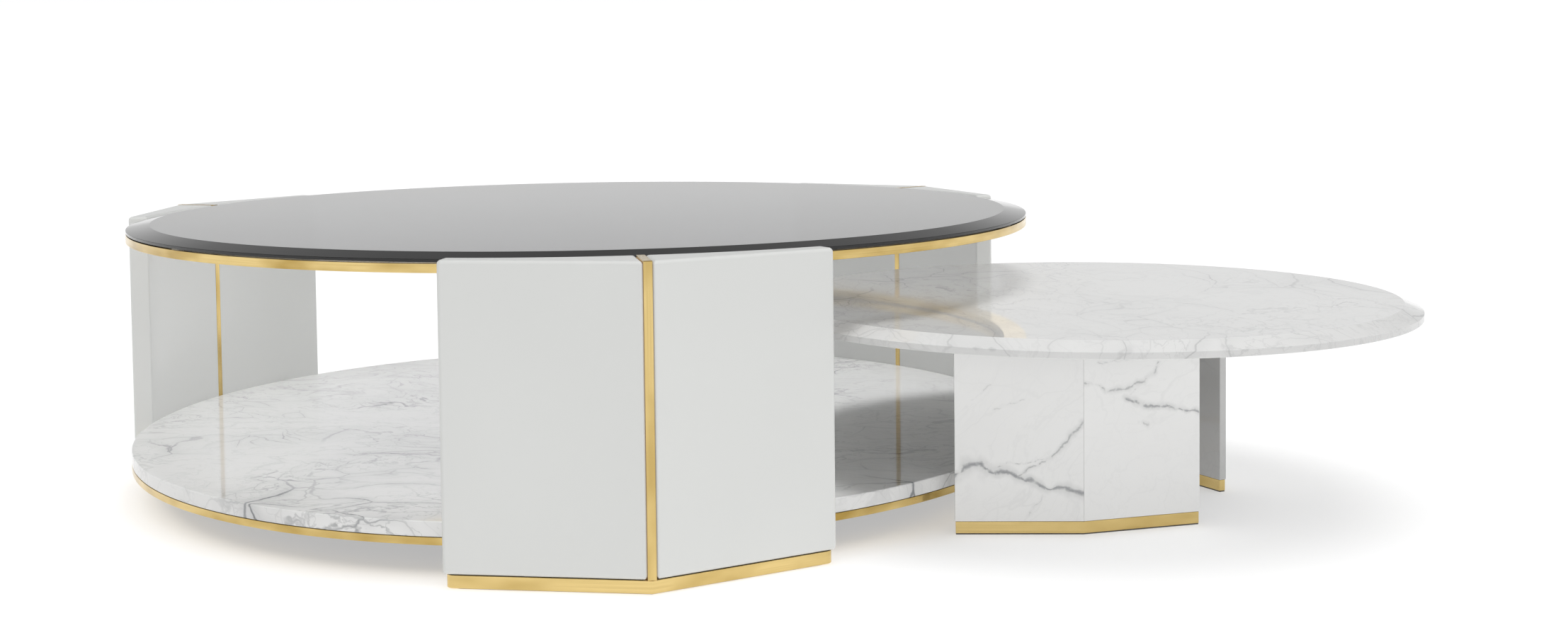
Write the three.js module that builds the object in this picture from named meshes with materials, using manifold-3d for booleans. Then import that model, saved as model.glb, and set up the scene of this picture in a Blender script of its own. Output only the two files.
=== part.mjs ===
// Nesting tables: a large round glass table with a marble shelf on three folded legs,
// and a lower round marble table on two folded legs that tucks in over the shelf.
// Millimetres, +Z up. The tables stand on the plane z = 0.

import * as THREE from 'three';
import { mergeVertices } from 'three/addons/utils/BufferGeometryUtils.js';
import Module from 'manifold-3d';

const wasm = await Module();
wasm.setup();

// Clearances
const GAP = 0.3;                    // between faces that touch or are joined
const HOLE_CLEARANCE = 0.3;         // radial, round a screw
const WRAP_CLEARANCE = 0.6;         // between a round edge and the leg that wraps it
const DECK_CLEARANCE = 1;           // radial, between the shelf deck and its band
const SCREW_TIP_CLEARANCE = 1;      // between a screw and the bottom of its hole
const CUT_OVERRUN = 1;              // how far a cutter runs past the face it cuts

// Large table, round parts
const TOP_RADIUS = 700;             // glass, rim band and shelf share this radius
const RIM_HEIGHT = 12;
const RIM_WIDTH = 35;
const GLASS_THICKNESS = 10;
const GLASS_EDGE = 4;               // upright part of the glass edge
const GLASS_BEVEL = 34;             // width of the polished bevel
const GLASS_ARRIS = 0.5;
const GLASS_PAD_HEIGHT = 1;
const GLASS_PAD_RADIUS = 8;
const GLASS_PADS = 6;
const SHELF_BASE_HEIGHT = 46.5;     // floor to the underside of the shelf band
const SHELF_BAND_HEIGHT = 10;
const SHELF_BAND_WIDTH = 35;
const SHELF_SLAB = 20;
const SLAB_ARRIS = 1;

// Large table, legs
const LEGS = ['front', 'rear', 'left'];
const LEG_AZIMUTH = 11.4;           // degrees from -Y towards +X, first leg
const LEG_HEIGHT = 408;
const LEG_RISE = 8;                 // top of the legs above the top of the rim band
const FOLD_DEPTH = 75.4;            // inner face to outer fold, across the middle of a leg
const PANEL_WIDTH = 265;            // fold to free end, along the outer face
const PANEL_SWEEP = 19.3;           // degrees each outer face turns back from the tangent
const PANEL_END_FILLET = 6;
const PANEL_SEAM_FILLET = 3;
const SEAM_WIDTH = 11;              // metal inlay between the two panels
const INLAY_THICKNESS = 2;
const PLINTH_HEIGHT = 18;           // floor to the top of the plinth
const PLINTH_INSET = 2;
const PLINTH_END_INSET = 3;
const PLINTH_END_CHAMFER = 5;
const SOLE_HEIGHT = 1.5;
const SOLE_INSET = 7;

// Screws that hold the rim band and the shelf band to the leg panels
const SCREW_ANGLE = 9;              // degrees either side of the fold
const SCREW_RADIUS = 2;
const SCREW_HEAD_RADIUS = 3.2;
const SCREW_HEAD_HEIGHT = 4;
const SCREW_COVER = 13;             // left between a screw's tip and the panel's outer face

// Small table
const SMALL_RADIUS = 468;
const SMALL_HEIGHT = 299;
const SMALL_SLAB = 20;
const SMALL_EDGE = 9;               // upright part of the slab edge
const SMALL_BEVEL = 26;
const SMALL_LEGS = [['near', -1], ['far', 1]];  // name, and side of the small table's axis
const SMALL_LEG_SPREAD = 60;        // degrees either side of the small table's axis
const SMALL_LEG_OFFSET = 76;        // slab centre to the point the legs are set out from
const SMALL_FOLD_RADIUS = 249;
const SMALL_PANEL_WIDTH = 174.5;
const SMALL_PANEL_SWEEP = 9.3;
const SMALL_PANEL_THICKNESS = 12;
const SMALL_PLINTH_INSET = 1;
const SUBPLATE_THICKNESS = 6;
const SUBPLATE_MARGIN = 18;         // past the ends of the leg panels
const BRACKET_SIZE = 40;
const BRACKET_THICKNESS = 4;
const BRACKET_LENGTH = 70;

// Where the small table stands
const NEST_OFF_CENTRE = -1.3;       // degrees from the middle of the gap between two legs
const NEST_LEG_GAP = 22;            // least, between the shelf's edge and the small table's legs
const NEST_TOP_GAP = 40;            // least, between the marble top and the large table's legs
const SMALL_TURN = -3.1;            // degrees the small table is turned from facing the large one

// Facets
const RING_SEGMENTS = 144;
const PAD_SEGMENTS = 20;
const SCREW_SEGMENTS = 14;
const FILLET_SEGMENTS = 4;

const RIM_TOP = LEG_HEIGHT - LEG_RISE;
const RIM_BASE_HEIGHT = RIM_TOP - RIM_HEIGHT;
const GLASS_BASE = RIM_TOP + GAP + GLASS_PAD_HEIGHT + GAP;
const SHELF_BAND_TOP = SHELF_BASE_HEIGHT + SHELF_BAND_HEIGHT;
const SLAB_BASE = SHELF_BAND_TOP + GAP;
const LEG_INNER_RADIUS = TOP_RADIUS + WRAP_CLEARANCE;
const FOLD_RADIUS = LEG_INNER_RADIUS + FOLD_DEPTH;
const SEAM_HALF = SEAM_WIDTH / 2;
const PANEL_BASE = PLINTH_HEIGHT + GAP;
const SMALL_SLAB_BASE = SMALL_HEIGHT - SMALL_SLAB;
const SUBPLATE_BASE = SMALL_SLAB_BASE - GAP - SUBPLATE_THICKNESS;
const SMALL_PANEL_TOP = SUBPLATE_BASE - GAP;

const rad = THREE.MathUtils.degToRad;
const sweep = rad(PANEL_SWEEP);
const smallSweep = rad(SMALL_PANEL_SWEEP);

const finishes = {
  smokedGlass: { color: '#5b5d60', roughness: 0.04, metalness: 0.0 },
  polishedBrass: { color: '#d2b066', roughness: 0.18, metalness: 1.0 },
  lacquer: { color: '#e4e5e4', roughness: 0.3, metalness: 0.0 },
  marble: { color: '#dfdfdf', roughness: 0.15, metalness: 0.0 },
  plywood: { color: '#b08d5f', roughness: 0.7, metalness: 0.0 },
  steel: { color: '#8c8f92', roughness: 0.4, metalness: 1.0 },
  silicone: { color: '#d8dadb', roughness: 0.4, metalness: 0.0 },
  felt: { color: '#4a4744', roughness: 0.95, metalness: 0.0 },
};

function addPiece(parent, name, geometry, finish) {
  const mesh = new THREE.Mesh(geometry, new THREE.MeshStandardMaterial(finishes[finish]));
  mesh.name = name;
  parent.add(mesh);
  return mesh;
}

// Booleans

function toManifold(geometry) {
  const bare = geometry.clone();
  bare.deleteAttribute('normal');
  bare.deleteAttribute('uv');
  const merged = mergeVertices(bare, 1e-4);
  return new wasm.Manifold(new wasm.Mesh({
    numProp: 3,
    vertProperties: Float32Array.from(merged.attributes.position.array),
    triVerts: Uint32Array.from(merged.index.array),
  }));
}

function toGeometry(manifold) {
  const mesh = manifold.getMesh();
  const geometry = new THREE.BufferGeometry();
  geometry.setAttribute('position', new THREE.BufferAttribute(mesh.vertProperties, 3));
  geometry.setIndex(new THREE.BufferAttribute(mesh.triVerts, 1));
  return geometry;
}

function cut(geometry, cutters) {
  let solid = toManifold(geometry);
  for (const cutter of cutters) {
    solid = solid.subtract(toManifold(cutter));
  }
  return toGeometry(solid);
}

// Shapes

// A solid of revolution about Z from a profile of [radius, height], counter-clockwise.
function turned(profile, segments = RING_SEGMENTS) {
  const points = profile.map(([r, z]) => new THREE.Vector2(r, z));
  return new THREE.LatheGeometry(points, segments).rotateX(Math.PI / 2);
}

function disc(radius, base, height, segments = RING_SEGMENTS) {
  const top = base + height;
  return turned([[0, base], [radius, base], [radius, top], [0, top]], segments);
}

function band(outer, width, base, height) {
  const inner = outer - width;
  const top = base + height;
  return turned([[inner, base], [outer, base], [outer, top], [inner, top], [inner, base]]);
}

function prism(outline, base, height) {
  const shape = new THREE.Shape(outline.map(([x, y]) => new THREE.Vector2(x, y)));
  const geometry = new THREE.ExtrudeGeometry(shape, { depth: height, bevelEnabled: false });
  return geometry.translate(0, 0, base);
}

// A plate drawn in the plane of X and Z, centred on y = 0.
function standingPlate(outline, thickness) {
  return prism(outline, 0, thickness).rotateX(Math.PI / 2).translate(0, thickness / 2, 0);
}

// The outline with the corner at each listed index rounded to its radius.
function rounded(outline, radii) {
  const result = [];
  outline.forEach((point, i) => {
    const radius = radii[i] ?? 0;
    if (radius === 0) {
      result.push(point);
      return;
    }
    const corner = new THREE.Vector2(...point);
    const before = new THREE.Vector2(...outline.at(i - 1)).sub(corner).normalize();
    const after = new THREE.Vector2(...outline[(i + 1) % outline.length]).sub(corner).normalize();
    const half = Math.acos(before.dot(after)) / 2;
    const reach = radius / Math.tan(half);
    const toCentre = before.clone().add(after).normalize().multiplyScalar(radius / Math.sin(half));
    const centre = corner.clone().add(toCentre);
    const from = corner.clone().addScaledVector(before, reach).sub(centre);
    const turn = Math.sign(before.cross(after)) * -(Math.PI - 2 * half);
    for (let k = 0; k <= FILLET_SEGMENTS; k++) {
      const spoke = from.clone().rotateAround(new THREE.Vector2(), (turn * k) / FILLET_SEGMENTS);
      result.push(centre.clone().add(spoke).toArray());
    }
  });
  return result;
}

// Points on a circle about the origin, both ends included.
function arc(radius, from, to) {
  const steps = Math.max(2, Math.ceil((Math.abs(to - from) / (2 * Math.PI)) * RING_SEGMENTS));
  return Array.from({ length: steps + 1 }, (_, i) => {
    const angle = from + ((to - from) * i) / steps;
    return [radius * Math.cos(angle), radius * Math.sin(angle)];
  });
}

function mirrored(outline) {
  return outline.map(([x, y]) => [x, -y]).reverse();
}

// The outer face of one half of a folded leg. In a leg's own frame X points outwards and the
// fold lies on y = 0. `point` goes along the face from the fold, and in from it; `atY` moves the
// face in by an inset and gives its point at a y.
function foldedFace(foldRadius, turn) {
  const point = (along, inwards) => [
    foldRadius - along * Math.sin(turn) - inwards * Math.cos(turn),
    along * Math.cos(turn) - inwards * Math.sin(turn),
  ];
  const atY = (y, inset) => point((y + inset * Math.sin(turn)) / Math.cos(turn), inset);
  return { point, atY };
}

// Large table's legs

const face = foldedFace(FOLD_RADIUS, sweep);

// How far in from the outer face, at a given distance along it, a circle lies.
function depthTo(radius, along) {
  const [x, y] = face.point(along, 0);
  const reach = x * Math.cos(sweep) + y * Math.sin(sweep);
  return reach - Math.sqrt(reach ** 2 - (x ** 2 + y ** 2 - radius ** 2));
}

// From the table centre to the outer face of a leg, at an angle from the fold.
function faceReach(angle) {
  return (FOLD_RADIUS * Math.cos(sweep)) / Math.cos(angle - sweep);
}

// The half of a leg's plan with positive y, from y = start, inset from every face.
function halfPlan(start, inset, endInset) {
  const inner = LEG_INNER_RADIUS + inset;
  const along = PANEL_WIDTH - endInset;
  const end = face.point(along, depthTo(inner, along));
  const endAngle = Math.atan2(end[1], end[0]);
  const startAngle = Math.asin(start / inner);
  return [face.atY(start, inset), face.point(along, inset), ...arc(inner, endAngle, startAngle)];
}

function panelPlan() {
  const plan = halfPlan(SEAM_HALF + GAP, 0, 0);
  return rounded(plan, { 0: PANEL_SEAM_FILLET, 1: PANEL_END_FILLET });
}

function wholePlan(inset, endInset, chamfer) {
  const half = halfPlan(0, inset, endInset);
  const back = face.point(PANEL_WIDTH - endInset - chamfer, inset);
  const side = face.point(PANEL_WIDTH - endInset, inset + chamfer);
  const right = [half[0], back, side, ...half.slice(2, -1)];
  const middle = half.at(-1);
  return [...right, middle, ...mirrored(right.slice(1))];
}

// Screws run outwards along X at y = 0 and are turned into place.

function screwGeometry(bandWidth, clearance = 0, overrun = 0, tipClearance = 0) {
  const headBase = TOP_RADIUS - bandWidth - overrun;
  const seat = TOP_RADIUS - bandWidth + SCREW_HEAD_HEIGHT + clearance;
  const tip = faceReach(rad(SCREW_ANGLE)) - SCREW_COVER + tipClearance;
  const head = SCREW_HEAD_RADIUS + clearance;
  const shank = SCREW_RADIUS + clearance;
  const profile = [[0, headBase], [head, headBase], [head, seat], [shank, seat], [shank, tip], [0, tip]];
  return turned(profile, SCREW_SEGMENTS).rotateY(Math.PI / 2);
}

function screwPlaced(geometry, angle, height) {
  return geometry.rotateZ(angle).translate(0, 0, height);
}

const fixings = [
  { name: 'rim', width: RIM_WIDTH, height: RIM_BASE_HEIGHT + RIM_HEIGHT / 2 },
  { name: 'shelf', width: SHELF_BAND_WIDTH, height: SHELF_BASE_HEIGHT + SHELF_BAND_HEIGHT / 2 },
];

function screwHole(fixing, angle) {
  const hole = screwGeometry(fixing.width, HOLE_CLEARANCE, CUT_OVERRUN, SCREW_TIP_CLEARANCE);
  return screwPlaced(hole, angle, fixing.height);
}

function legAngle(index) {
  return rad(LEG_AZIMUTH - 90 + (360 / LEGS.length) * index);
}

function makeInlay() {
  const outer = face.atY(SEAM_HALF, 0)[0];
  const inner = LEG_INNER_RADIUS;
  const t = INLAY_THICKNESS;
  const outline = [
    [outer, PANEL_BASE],
    [outer, LEG_HEIGHT],
    [inner, LEG_HEIGHT],
    [inner, PANEL_BASE],
    [inner + t, PANEL_BASE],
    [inner + t, LEG_HEIGHT - t],
    [outer - t, LEG_HEIGHT - t],
    [outer - t, PANEL_BASE],
  ];
  return standingPlate(outline, SEAM_WIDTH);
}

function makeSpline() {
  const outer = face.atY(SEAM_HALF, 0)[0] - INLAY_THICKNESS - GAP;
  const inner = LEG_INNER_RADIUS + INLAY_THICKNESS + GAP;
  const top = LEG_HEIGHT - INLAY_THICKNESS - GAP;
  const outline = [[inner, PANEL_BASE], [outer, PANEL_BASE], [outer, top], [inner, top]];
  return standingPlate(outline, SEAM_WIDTH);
}

function makeLeg(name, index) {
  const leg = new THREE.Group();
  leg.rotation.z = legAngle(index);
  const sides = [['right', 1], ['left', -1]];
  for (const [side, sign] of sides) {
    const plan = sign > 0 ? panelPlan() : mirrored(panelPlan());
    const panel = prism(plan, PANEL_BASE, LEG_HEIGHT - PANEL_BASE);
    const angle = sign * rad(SCREW_ANGLE);
    const holes = fixings.map((fixing) => screwHole(fixing, angle));
    addPiece(leg, `${name}_leg_panel_${side}`, cut(panel, holes), 'lacquer');
    for (const fixing of fixings) {
      const screw = screwPlaced(screwGeometry(fixing.width), angle, fixing.height);
      addPiece(leg, `${name}_leg_${fixing.name}_screw_${side}`, screw, 'steel');
    }
  }
  addPiece(leg, `${name}_leg_inlay`, makeInlay(), 'polishedBrass');
  addPiece(leg, `${name}_leg_spline`, makeSpline(), 'plywood');
  const plinthPlan = wholePlan(PLINTH_INSET, PLINTH_END_INSET, PLINTH_END_CHAMFER);
  const plinthBase = SOLE_HEIGHT + GAP;
  addPiece(leg, `${name}_leg_plinth`, prism(plinthPlan, plinthBase, PLINTH_HEIGHT - plinthBase),
    'polishedBrass');
  const solePlan = wholePlan(SOLE_INSET, PLINTH_END_INSET + SOLE_INSET, PLINTH_END_CHAMFER);
  addPiece(leg, `${name}_leg_sole`, prism(solePlan, 0, SOLE_HEIGHT), 'felt');
  return leg;
}

// Large table

function makeGlass() {
  const top = GLASS_BASE + GLASS_THICKNESS;
  return turned([
    [0, GLASS_BASE],
    [TOP_RADIUS - GLASS_ARRIS, GLASS_BASE],
    [TOP_RADIUS, GLASS_BASE + GLASS_ARRIS],
    [TOP_RADIUS, GLASS_BASE + GLASS_EDGE],
    [TOP_RADIUS - GLASS_BEVEL, top],
    [0, top],
  ]);
}

function makeShelfSlab() {
  const top = SLAB_BASE + SHELF_SLAB;
  return turned([
    [0, SLAB_BASE],
    [TOP_RADIUS - SLAB_ARRIS, SLAB_BASE],
    [TOP_RADIUS, SLAB_BASE + SLAB_ARRIS],
    [TOP_RADIUS, top - SLAB_ARRIS],
    [TOP_RADIUS - SLAB_ARRIS, top],
    [0, top],
  ]);
}

function bandHoles(fixing) {
  return LEGS.flatMap((_, index) => [1, -1].map((sign) => (
    screwHole(fixing, legAngle(index) + sign * rad(SCREW_ANGLE))
  )));
}

function makeLargeTable() {
  const table = new THREE.Group();
  const [rimFixing, shelfFixing] = fixings;
  addPiece(table, 'glass_top', makeGlass(), 'smokedGlass');
  const rim = band(TOP_RADIUS, RIM_WIDTH, RIM_BASE_HEIGHT, RIM_HEIGHT);
  addPiece(table, 'rim_band', cut(rim, bandHoles(rimFixing)), 'polishedBrass');
  for (let i = 0; i < GLASS_PADS; i++) {
    const pad = disc(GLASS_PAD_RADIUS, RIM_TOP + GAP, GLASS_PAD_HEIGHT, PAD_SEGMENTS);
    const angle = legAngle(0) + (2 * Math.PI * i) / GLASS_PADS;
    const reach = TOP_RADIUS - RIM_WIDTH / 2;
    pad.translate(reach * Math.cos(angle), reach * Math.sin(angle), 0);
    addPiece(table, `glass_pad_${i + 1}`, pad, 'silicone');
  }
  addPiece(table, 'shelf_slab', makeShelfSlab(), 'marble');
  const shelfBand = band(TOP_RADIUS, SHELF_BAND_WIDTH, SHELF_BASE_HEIGHT, SHELF_BAND_HEIGHT);
  addPiece(table, 'shelf_band', cut(shelfBand, bandHoles(shelfFixing)), 'polishedBrass');
  const deckRadius = TOP_RADIUS - SHELF_BAND_WIDTH - DECK_CLEARANCE;
  addPiece(table, 'shelf_deck', disc(deckRadius, SHELF_BASE_HEIGHT, SHELF_BAND_HEIGHT), 'plywood');
  LEGS.forEach((name, index) => table.add(makeLeg(name, index)));
  return table;
}

// Small table

const smallFace = foldedFace(SMALL_FOLD_RADIUS, smallSweep);

// One mitred half of a small leg's plan, from y = start, inset from every face.
function smallHalfPlan(start, inset) {
  const back = SMALL_PANEL_THICKNESS - inset;
  const along = SMALL_PANEL_WIDTH - inset;
  return [
    smallFace.atY(start, inset),
    smallFace.point(along, inset),
    smallFace.point(along, back),
    smallFace.atY(start, back),
  ];
}

function smallWholePlan(inset) {
  const [front, frontEnd, backEnd, back] = smallHalfPlan(0, inset);
  const flip = ([x, y]) => [x, -y];
  return [front, frontEnd, backEnd, back, flip(backEnd), flip(frontEnd)];
}

function makeBracket(sign) {
  const s = BRACKET_SIZE;
  const t = BRACKET_THICKNESS;
  const top = SUBPLATE_BASE - GAP;
  const outline = [[0, top - s], [0, top], [-s, top], [-s, top - t], [-t, top - t], [-t, top - s]];
  const bracket = standingPlate(outline, BRACKET_LENGTH);
  const [x, y] = smallFace.point(SMALL_PANEL_WIDTH / 2, SMALL_PANEL_THICKNESS + GAP);
  return bracket.rotateZ(sign * smallSweep).translate(x, sign * y, 0);
}

function makeSmallLeg(name, sign) {
  const leg = new THREE.Group();
  leg.rotation.z = sign * rad(SMALL_LEG_SPREAD);
  const panelHeight = SMALL_PANEL_TOP - PANEL_BASE;
  for (const [side, y] of [['right', 1], ['left', -1]]) {
    const plan = smallHalfPlan(GAP / 2, 0);
    const panel = prism(y > 0 ? plan : mirrored(plan), PANEL_BASE, panelHeight);
    addPiece(leg, `${name}_stone_panel_${side}`, panel, 'marble');
    addPiece(leg, `${name}_bracket_${side}`, makeBracket(y), 'steel');
  }
  const plinthBase = SOLE_HEIGHT + GAP;
  const plinth = prism(smallWholePlan(SMALL_PLINTH_INSET), plinthBase, PLINTH_HEIGHT - plinthBase);
  addPiece(leg, `${name}_stone_plinth`, plinth, 'polishedBrass');
  const sole = prism(smallWholePlan(SMALL_PLINTH_INSET + GAP), 0, SOLE_HEIGHT);
  addPiece(leg, `${name}_stone_sole`, sole, 'felt');
  return leg;
}

function makeSmallTop() {
  const base = SMALL_SLAB_BASE;
  return turned([
    [0, base],
    [SMALL_RADIUS - SLAB_ARRIS, base],
    [SMALL_RADIUS, base + SLAB_ARRIS],
    [SMALL_RADIUS, base + SMALL_EDGE],
    [SMALL_RADIUS - SMALL_BEVEL, SMALL_HEIGHT],
    [0, SMALL_HEIGHT],
  ]);
}

// The small table's own X axis points away from the large table.
function makeSmallTable() {
  const table = new THREE.Group();
  addPiece(table, 'stone_top', makeSmallTop(), 'marble');
  const base = new THREE.Group();
  base.position.x = -SMALL_LEG_OFFSET;
  const reach = Math.hypot(...smallFace.point(SMALL_PANEL_WIDTH, 0)) + SUBPLATE_MARGIN;
  addPiece(base, 'stone_top_subplate', disc(reach, SUBPLATE_BASE, SUBPLATE_THICKNESS), 'steel');
  SMALL_LEGS.forEach(([name, side]) => base.add(makeSmallLeg(name, side)));
  table.add(base);
  return table;
}

// Both tables. The nesting frame has the large table's centre as its origin, and its X axis runs
// through the small table's centre.

const nestAngle = legAngle(0) + rad(180 / LEGS.length + NEST_OFF_CENTRE);

function rotated(points, angle) {
  const centre = new THREE.Vector2();
  return points.map(([x, y]) => new THREE.Vector2(x, y).rotateAround(centre, angle).toArray());
}

// Corners of the small table's legs, from its own centre, along the nesting frame's axes.
function smallLegCorners() {
  return SMALL_LEGS.flatMap(([, side]) => {
    const corners = rotated(smallWholePlan(0), side * rad(SMALL_LEG_SPREAD));
    return rotated(corners.map(([x, y]) => [x - SMALL_LEG_OFFSET, y]), rad(SMALL_TURN));
  });
}

// The least distance between the table centres that keeps the small table's legs off the shelf
// and its top off the large table's legs.
function nestDistance() {
  const shelfReach = TOP_RADIUS + NEST_LEG_GAP;
  const forLegs = smallLegCorners().map(([x, y]) => Math.sqrt(shelfReach ** 2 - y ** 2) - x);
  const topReach = SMALL_RADIUS + NEST_TOP_GAP;
  const forTop = LEGS.flatMap((_, index) => rotated(wholePlan(0, 0, 0), legAngle(index) - nestAngle))
    .filter(([x, y]) => x > 0 && Math.abs(y) < topReach)
    .map(([x, y]) => x + Math.sqrt(topReach ** 2 - y ** 2));
  return Math.max(...forLegs, ...forTop);
}

const tables = new THREE.Group();
tables.add(makeLargeTable());
const smallTable = makeSmallTable();
const distance = nestDistance();
smallTable.position.set(distance * Math.cos(nestAngle), distance * Math.sin(nestAngle), 0);
smallTable.rotation.z = nestAngle + rad(SMALL_TURN);
tables.add(smallTable);

// The origin is under the middle of the tables' common box.
const middle = new THREE.Box3().setFromObject(tables, true).getCenter(new THREE.Vector3());
tables.position.set(-middle.x, -middle.y, 0);
const assembly = new THREE.Group();
assembly.add(tables);

export default assembly;
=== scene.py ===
"""Looks for a pair of nesting tables: a large round glass table on folded lacquered legs with a
marble shelf, and a lower round marble table that slides in over the shelf. Metres, +Z up."""

import math

import bmesh
import bpy
from mathutils import Matrix, Vector


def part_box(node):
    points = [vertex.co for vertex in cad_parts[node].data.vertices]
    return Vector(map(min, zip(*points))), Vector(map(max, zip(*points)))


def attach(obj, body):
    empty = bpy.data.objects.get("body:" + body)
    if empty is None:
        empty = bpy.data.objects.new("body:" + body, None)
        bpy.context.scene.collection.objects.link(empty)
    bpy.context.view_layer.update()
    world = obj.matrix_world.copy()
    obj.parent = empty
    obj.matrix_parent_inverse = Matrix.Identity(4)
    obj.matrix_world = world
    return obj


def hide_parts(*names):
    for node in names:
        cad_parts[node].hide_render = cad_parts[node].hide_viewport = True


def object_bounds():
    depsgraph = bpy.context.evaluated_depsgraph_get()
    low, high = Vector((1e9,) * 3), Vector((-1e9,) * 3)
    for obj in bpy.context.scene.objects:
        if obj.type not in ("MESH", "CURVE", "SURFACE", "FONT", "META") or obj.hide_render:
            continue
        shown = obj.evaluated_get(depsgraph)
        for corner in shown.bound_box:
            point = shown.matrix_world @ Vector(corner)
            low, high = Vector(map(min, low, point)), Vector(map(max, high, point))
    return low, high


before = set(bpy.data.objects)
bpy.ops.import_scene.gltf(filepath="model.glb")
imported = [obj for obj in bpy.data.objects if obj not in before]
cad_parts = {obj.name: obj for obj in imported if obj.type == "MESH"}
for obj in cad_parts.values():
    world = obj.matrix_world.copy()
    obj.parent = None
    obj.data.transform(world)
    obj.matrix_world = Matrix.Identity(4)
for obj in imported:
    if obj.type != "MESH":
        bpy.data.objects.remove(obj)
cad_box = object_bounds()

bl_info = {
    "name": "Nesting Tables",
    "version": (1, 0, 0),
    "blender": (4, 5, 0),
    "location": "3D View > Sidebar > Tables",
    "description": "Builds the visible pieces of two nesting tables around their packed frame",
    "category": "Object",
}

MM = 0.001
LEGS = ("front", "rear", "left")
SMALL_LEGS = (("near", -1), ("far", 1))
SIDES = (("right", 1), ("left", -1))
ROUND_STEPS = 360        # segments round a table top
PAD_STEPS = 48
FILLET_STEPS = 6         # segments round a rounded corner
EDGE_STEPS = 5           # segments across a rounded edge
ARC_STEP = math.radians(0.75)
LEAST_FILLET = 0.15 * MM


def linear(hex_colour):
    """An sRGB hex colour as linear red, green, blue and alpha."""
    channels = [int(hex_colour[i:i + 2], 16) / 255 for i in (1, 3, 5)]
    return tuple(c / 12.92 if c <= 0.04045 else ((c + 0.055) / 1.055) ** 2.4 for c in channels) + (1.0,)


def middle(node):
    low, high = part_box(node)
    return (low + high) / 2


def levels(node):
    """A node's lowest and highest Z."""
    low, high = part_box(node)
    return low.z, high.z


def radius_of(node):
    low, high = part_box(node)
    return (high.y - low.y) / 2


LARGE_AXIS = middle("shelf_slab")
SMALL_AXIS = middle("stone_top")
SMALL_BASE_AXIS = middle("stone_top_subplate")
TOP_RADIUS = radius_of("shelf_slab")
SMALL_RADIUS = radius_of("stone_top")


def heading(node, axis):
    """The direction in plan from an axis to the middle of a node's corners."""
    corners = {tuple(round(value, 6) for value in v.co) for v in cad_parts[node].data.vertices}
    away = sum((Vector(corner) for corner in corners), Vector()) / len(corners) - axis
    return math.atan2(away.y, away.x)


# Settings


class TABLES_PG_sizes(bpy.types.PropertyGroup):
    wrap_clearance: bpy.props.FloatProperty(
        name="Wrap clearance", description="Gap between a round edge and the leg round it",
        default=0.6 * MM, unit="LENGTH")
    fold_depth: bpy.props.FloatProperty(
        name="Fold depth", description="Inner face to outer fold, across the middle of a leg",
        default=75.4 * MM, unit="LENGTH")
    panel_width: bpy.props.FloatProperty(
        name="Panel width", description="Fold to free end of a lacquered panel",
        default=265 * MM, unit="LENGTH")
    panel_sweep: bpy.props.FloatProperty(
        name="Panel sweep", description="Angle that a lacquered panel turns back from the fold",
        default=math.radians(19.3), subtype="ANGLE")
    panel_edge: bpy.props.FloatProperty(
        name="Panel edge", description="Rounding of a lacquered panel's top, bottom and end edges",
        default=6 * MM, unit="LENGTH")
    seam_fillet: bpy.props.FloatProperty(
        name="Seam fillet", description="Rounding of a lacquered panel beside the inlay",
        default=3 * MM, unit="LENGTH")
    seam_width: bpy.props.FloatProperty(
        name="Seam width", description="Width of the brass inlay between two panels",
        default=11 * MM, unit="LENGTH")
    inlay_thickness: bpy.props.FloatProperty(
        name="Inlay thickness", description="Thickness of the folded brass strip",
        default=2 * MM, unit="LENGTH")
    plinth_inset: bpy.props.FloatProperty(
        name="Plinth inset", description="How far a brass plinth stands back from the panels",
        default=2 * MM, unit="LENGTH")
    glass_bevel: bpy.props.FloatProperty(
        name="Glass bevel", description="Width of the bevel round the glass",
        default=34 * MM, unit="LENGTH")
    glass_edge: bpy.props.FloatProperty(
        name="Glass edge", description="Upright part of the glass edge",
        default=4 * MM, unit="LENGTH")
    band_width: bpy.props.FloatProperty(
        name="Band width", description="Outer to inner edge of the two brass bands",
        default=35 * MM, unit="LENGTH")
    stone_bevel: bpy.props.FloatProperty(
        name="Stone bevel", description="Width of the bevel round the small marble top",
        default=26 * MM, unit="LENGTH")
    stone_edge: bpy.props.FloatProperty(
        name="Stone edge", description="Upright part of the small marble top's edge",
        default=9 * MM, unit="LENGTH")
    metal_edge: bpy.props.FloatProperty(
        name="Metal edge", description="Rounding of the brass pieces' edges",
        default=0.5 * MM, unit="LENGTH")
    small_fold: bpy.props.FloatProperty(
        name="Small fold", description="Set-out point to the fold of a small leg",
        default=249 * MM, unit="LENGTH")
    small_width: bpy.props.FloatProperty(
        name="Small panel width", description="Fold to free end of a marble panel",
        default=174.5 * MM, unit="LENGTH")
    small_sweep: bpy.props.FloatProperty(
        name="Small panel sweep", description="Angle that a marble panel turns back from the fold",
        default=math.radians(9.3), subtype="ANGLE")
    small_thickness: bpy.props.FloatProperty(
        name="Small panel thickness", description="Thickness of a marble panel",
        default=12 * MM, unit="LENGTH")


class TABLES_PG_finishes(bpy.types.PropertyGroup):
    marble: bpy.props.FloatVectorProperty(
        name="Marble", description="Ground colour of the marble", subtype="COLOR", size=4,
        default=linear("#d8d8d7"))
    vein: bpy.props.FloatVectorProperty(
        name="Vein", description="Colour of the marble's veins", subtype="COLOR", size=4,
        default=linear("#77797c"))
    lacquer: bpy.props.FloatVectorProperty(
        name="Lacquer", description="Colour of the lacquered panels", subtype="COLOR", size=4,
        default=linear("#cbccca"))
    brass: bpy.props.FloatVectorProperty(
        name="Brass", description="Colour of the polished brass", subtype="COLOR", size=4,
        default=linear("#e4ca8b"))
    glass: bpy.props.FloatVectorProperty(
        name="Glass", description="Tint of the smoked glass", subtype="COLOR", size=4,
        default=linear("#4c4d50"))


def sizes():
    return bpy.context.scene.table_sizes


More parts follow.
